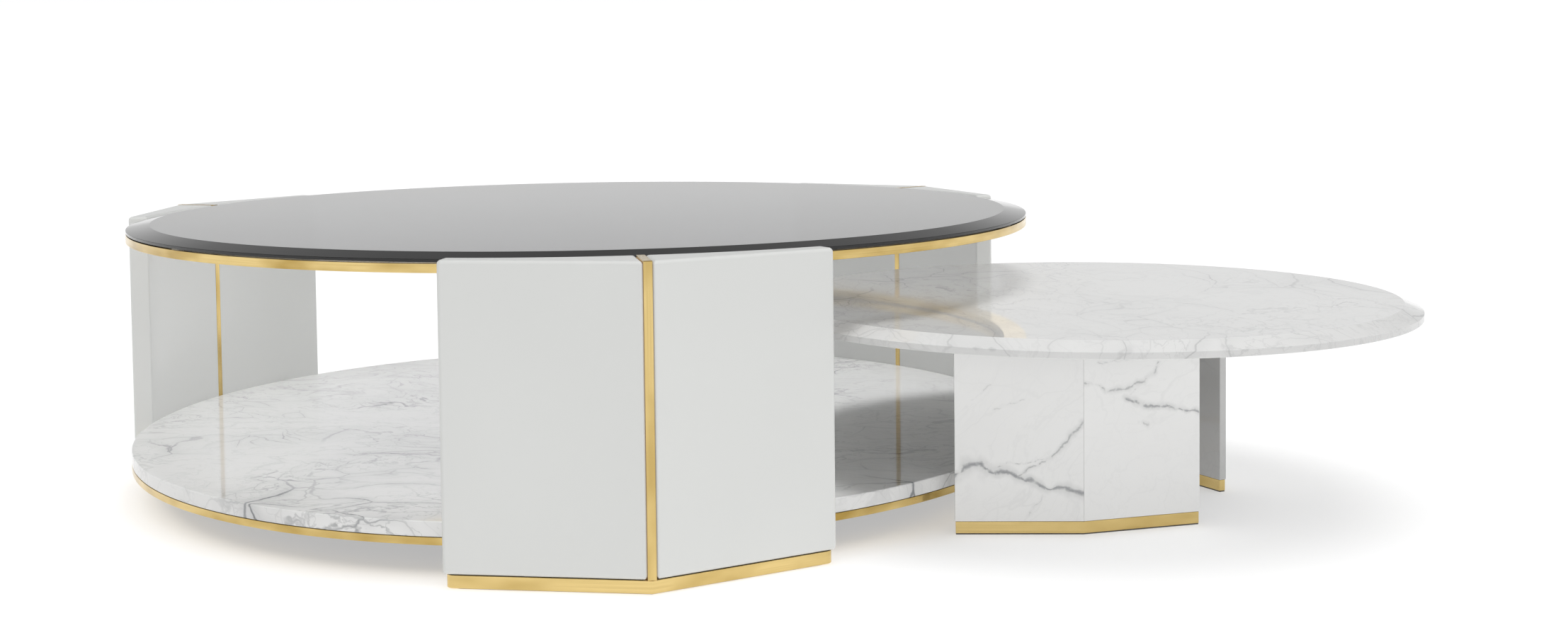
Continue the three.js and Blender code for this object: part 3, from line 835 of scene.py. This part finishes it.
class TABLES_OT_stone_panels(bpy.types.Operator):
    """Four mitred marble panels that carry the small table"""

    bl_idname = "tables.stone_panels"
    bl_label = "Marble Panels"

    def execute(self, context):
        gap, arris = 0.15 * MM, 0.7 * MM
        corners = small_leg_corners(gap, 0, arris)
        # The mitre's outer edge stays sharp, so that the two panels meet in a fine line.
        corners[0] = (*corners[0][:2], LEAST_FILLET)
        for name, side_of_table in SMALL_LEGS:
            for side, sign in SIDES:
                node = f"{name}_stone_panel_{side}"
                low, high = levels(node)
                outline = corners if sign > 0 else flipped(corners)
                piece = rounded_prism(f"{name}_marble_panel_{side}", outline, low, high, arris)
                veins = {"near_left": NEAR_LEFT_VEINS, "near_right": NEAR_RIGHT_VEINS}.get(
                    f"{name}_{side}", ())
                shift = (0.3 * side_of_table, 1.7 + 0.9 * sign, 0.4)
                matrix = small_leg_matrix(name)
                stone = polished_marble(f"white marble, {name} {side}", matrix, shift,
                                        turn=(0.5, 0.3, 0.2), web=0.12,
                                        veins=veins_on_panel(veins, sign))
                place(piece, "small_table", "marble", stone, matrix, node)
        return {"FINISHED"}


class TABLES_OT_round_pieces(bpy.types.Operator):
    """Glass, brass bands, marble shelf and marble top"""

    bl_idname = "tables.round_pieces"
    bl_label = "Round Tops and Bands"

    def execute(self, context):
        s = sizes()
        large = Matrix.Translation((LARGE_AXIS.x, LARGE_AXIS.y, 0))
        small_turn = Matrix.Rotation(heading("stone_top_subplate", SMALL_AXIS) + math.pi, 4, "Z")
        small = Matrix.Translation((SMALL_AXIS.x, SMALL_AXIS.y, 0)) @ small_turn
        glass_arris, glass_ridge = 0.5 * MM, 0.35 * MM
        shelf_arris = 1.6 * MM
        stone_foot, stone_rim, stone_ridge = 1.0 * MM, 0.8 * MM, 0.6 * MM

        low, high = levels("glass_top")
        profile = [(0, low, 0), (TOP_RADIUS, low, glass_arris),
                   (TOP_RADIUS, low + s.glass_edge, glass_arris),
                   (TOP_RADIUS - s.glass_bevel, high, glass_ridge), (0, high, 0)]
        place(lathed("smoked_glass_top", profile, ROUND_STEPS), "large_table", "smoked_glass",
              shared(smoked_glass, "grey smoked glass"), large, "glass_top")

        # The bands take the deepest painted dark reflections, a shaded copy of the brass.
        brass = shared(polished_brass, "drawn brass, rolled band", "level", 1.0)
        for node, name in (("rim_band", "brass_rim"), ("shelf_band", "brass_shelf_band")):
            piece = ring_band(name, TOP_RADIUS, TOP_RADIUS - s.band_width, *levels(node), s.metal_edge)
            place(piece, "large_table", "polished_brass", brass, large, node)

        stone = polished_marble("white marble, shelf", large, shift=(0.2, 0.1, 0.0),
                                turn=(0.1, 0.1, 0.35), web=1.2)
        piece = disc("marble_shelf", TOP_RADIUS, *levels("shelf_slab"), shelf_arris)
        place(piece, "large_table", "marble", stone, large, "shelf_slab")

        low, high = levels("stone_top")
        profile = [(0, low, 0), (SMALL_RADIUS, low, stone_foot),
                   (SMALL_RADIUS, low + s.stone_edge, stone_rim),
                   (SMALL_RADIUS - s.stone_bevel, high, stone_ridge), (0, high, 0)]
        stone = polished_marble("white marble, small top", small, shift=(1.3, 0.7, 0.2),
                                turn=(0.2, 0.1, 1.1), web=0.6)
        place(lathed("marble_top", profile, ROUND_STEPS), "small_table", "marble", stone, small,
              "stone_top")
        return {"FINISHED"}


class TABLES_OT_hardware(bpy.types.Operator):
    """Deck, subplate, pads, brackets, splines and screws"""

    bl_idname = "tables.hardware"
    bl_label = "Hidden Hardware"

    def execute(self, context):
        large = Matrix.Translation((LARGE_AXIS.x, LARGE_AXIS.y, 0))
        deck_edge, subplate_edge, pad_edge = 0.5 * MM, 0.8 * MM, 0.3 * MM
        stained = shared(birch_plywood, "black stained birch plywood", "#3a3938", "#222120")
        piece = disc("plywood_deck", radius_of("shelf_deck"), *levels("shelf_deck"), deck_edge)
        place(piece, "large_table", "plywood", stained, large, "shelf_deck")
        steel = shared(powder_coat, "matt black powder coat")
        base = Matrix.Translation((SMALL_BASE_AXIS.x, SMALL_BASE_AXIS.y, 0))
        piece = disc("steel_subplate", radius_of("stone_top_subplate"), *levels("stone_top_subplate"),
                     subplate_edge)
        place(piece, "small_table", "black_steel", steel, base, "stone_top_subplate")
        pads = [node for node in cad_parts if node.startswith("glass_pad_")]
        for node in pads:
            at = middle(node)
            piece = disc(f"bumper_{node[-1]}", radius_of(node), *levels(node), pad_edge, PAD_STEPS)
            place(piece, "large_table", "clear_silicone", shared(clear_silicone, "clear silicone"),
                  Matrix.Translation((at.x, at.y, 0)), node)
        zinc = shared(zinc_steel, "bright zinc plate")
        finishes_by_ending = {
            "_spline": shared(birch_plywood, "raw birch plywood", "#c4a67a", "#8f6c42"),
            "_screw_right": zinc,
            "_screw_left": zinc,
            "_bracket_right": steel,
            "_bracket_left": steel,
        }
        for node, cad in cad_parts.items():
            for ending, material in finishes_by_ending.items():
                if node.endswith(ending):
                    cad.data.materials.clear()
                    cad.data.materials.append(material)
        return {"FINISHED"}


# Stage


def collected(name, pieces):
    """A collection of the pieces with those names, for a lamp to be linked to."""
    collection = bpy.data.collections.new(name)
    for piece in pieces:
        collection.objects.link(bpy.data.objects[piece])
    return collection


class TABLES_OT_stage(bpy.types.Operator):
    """Pale floor, soft studio light and the camera"""

    bl_idname = "tables.stage"
    bl_label = "Studio"

    def execute(self, context):
        scene = context.scene
        scene.view_settings.view_transform = "Standard"
        floor_reach = 9.0
        mesh = bpy.data.meshes.new("floor")
        corners = [(-floor_reach, -floor_reach, 0), (floor_reach, -floor_reach, 0),
                   (floor_reach, floor_reach, 0), (-floor_reach, floor_reach, 0)]
        mesh.from_pydata(corners, [], [(0, 1, 2, 3)])
        floor = bpy.data.objects.new("floor", mesh)
        floor.data.materials.append(shared(matt_paper, "studio paper"))
        floor.location.z = cad_box[0].z
        scene.collection.objects.link(floor)

        world = bpy.data.worlds.new("studio")
        world.use_nodes = True
        scene.world = world
        tree = world.node_tree
        tree.nodes.clear()
        ray = add(tree, "ShaderNodeTexCoord").outputs["Generated"]
        height = add(tree, "ShaderNodeSeparateXYZ", {0: ray}).outputs["Z"]
        # Brightness by the sine of the height above the horizon: a white wall under a grey ceiling.
        wall = ((0.0, 1.05), (0.035, 1.0), (0.06, 0.8), (0.1, 0.74), (0.14, 0.66), (0.27, 0.36),
                (0.45, 0.24), (0.75, 0.26), (1.0, 0.4))
        ramp = add(tree, "ShaderNodeValToRGB", {0: height})
        points = ramp.color_ramp.elements
        for position, _ in wall[1:-1]:
            points.new(position)
        for point, (position, light) in zip(points, wall):
            point.position = position
            point.color = (light, light, light, 1)
        sky = add(tree, "ShaderNodeBackground", {"Color": ramp.outputs[0]})
        add(tree, "ShaderNodeOutputWorld", {"Surface": sky.outputs[0]})

        # Suns stand in for softboxes: name, where it is, strength, how wide in degrees, what shades
        # it and what it lights. None is everything, and an empty shade is no shadow at all.
        tables = [item.name for item in scene.objects if item.type == "MESH" and item is not floor]
        lacquer = [name for name in tables if "_panel_" in name and "marble" not in name]
        flats = ["marble_top", "plywood_deck"]
        stone = ["marble_top"]
        others = [name for name in tables if name not in stone]
        upright = [name for name in others if "far_marble" not in name]
        lamps = (
            ("overhead", (0.2, -0.25, 1.0), 0.35, 70, None, None),
            ("top fill", (0.0, -0.05, 1.0), 2.15, 24, flats, others),
            ("stone shade", (0.0, -0.05, 1.0), 1.5, 24, ["smoked_glass_top"], stone),
            ("stone fill", (0.0, 0.0, 1.0), 0.85, 24, [], stone),
            ("stone edge fill", (0.2, -1.0, 0.0), 0.4, 10, [], stone),
            ("floor shade", (0.0, -0.05, 1.0), 0.9, 50, flats, ["floor"]),
            ("floor fill", (0.0, 0.0, 1.0), 1.45, 20, [], ["floor"]),
            ("right fill", (0.75, -0.65, 0.06), 0.66, 10, [], upright),
            ("left fill", (-0.5, -0.85, 0.06), 0.6, 10, [], upright),
            ("back fill", (0.95, 0.3, 0.06), 0.8, 10, [], lacquer),
        )
        for name, source, strength, width, shades, lit in lamps:
            light = bpy.data.lights.new(name, "SUN")
            light.energy = strength
            light.angle = math.radians(width)
            light.use_shadow = shades != []
            lamp = bpy.data.objects.new(name, light)
            lamp.rotation_euler = (-Vector(source)).to_track_quat("-Z", "Y").to_euler()
            lamp.visible_glossy = shades is None
            scene.collection.objects.link(lamp)
            if shades:
                lamp.light_linking.blocker_collection = collected(f"shades from {name}", shades)
            if lit:
                lamp.light_linking.receiver_collection = collected(f"lit by {name}", lit)

        camera = bpy.data.cameras.new("camera")
        camera.sensor_width = 36
        camera.lens = 42.86
        camera.shift_y = -0.105
        camera.clip_end = 200
        viewer = bpy.data.objects.new("camera", camera)
        eye, looks_down, leans = (0.0723, -2.9625, 0.6469), 2.92, -0.628
        pitch, roll = math.radians(90 - looks_down), math.radians(leans)
        viewer.matrix_world = (Matrix.Translation(eye) @ Matrix.Rotation(pitch, 4, "X")
                               @ Matrix.Rotation(roll, 4, "Z"))
        scene.collection.objects.link(viewer)
        scene.camera = viewer
        return {"FINISHED"}


class TABLES_PT_panel(bpy.types.Panel):
    """Buttons and settings for the tables"""

    bl_idname = "TABLES_PT_panel"
    bl_label = "Nesting Tables"
    bl_space_type = "VIEW_3D"
    bl_region_type = "UI"
    bl_category = "Tables"

    def draw(self, context):
        for operator in OPERATORS:
            self.layout.operator(operator.bl_idname)
        for group in (context.scene.table_sizes, context.scene.table_finishes):
            for name in group.bl_rna.properties.keys():
                if name not in ("rna_type", "name"):
                    self.layout.prop(group, name)


OPERATORS = (
    TABLES_OT_round_pieces,
    TABLES_OT_lacquer_panels,
    TABLES_OT_inlays,
    TABLES_OT_plinths,
    TABLES_OT_stone_panels,
    TABLES_OT_hardware,
    TABLES_OT_stage,
)
CLASSES = (TABLES_PG_sizes, TABLES_PG_finishes, *OPERATORS, TABLES_PT_panel)


def register():
    for item in CLASSES:
        bpy.utils.register_class(item)
    bpy.types.Scene.table_sizes = bpy.props.PointerProperty(type=TABLES_PG_sizes)
    bpy.types.Scene.table_finishes = bpy.props.PointerProperty(type=TABLES_PG_finishes)


def unregister():
    del bpy.types.Scene.table_finishes
    del bpy.types.Scene.table_sizes
    for item in reversed(CLASSES):
        bpy.utils.unregister_class(item)


def main():
    register()
    bpy.ops.tables.round_pieces()
    bpy.ops.tables.lacquer_panels()
    bpy.ops.tables.inlays()
    bpy.ops.tables.plinths()
    bpy.ops.tables.stone_panels()
    bpy.ops.tables.hardware()
    bpy.ops.tables.stage()


if __name__ == "__main__":
    main()
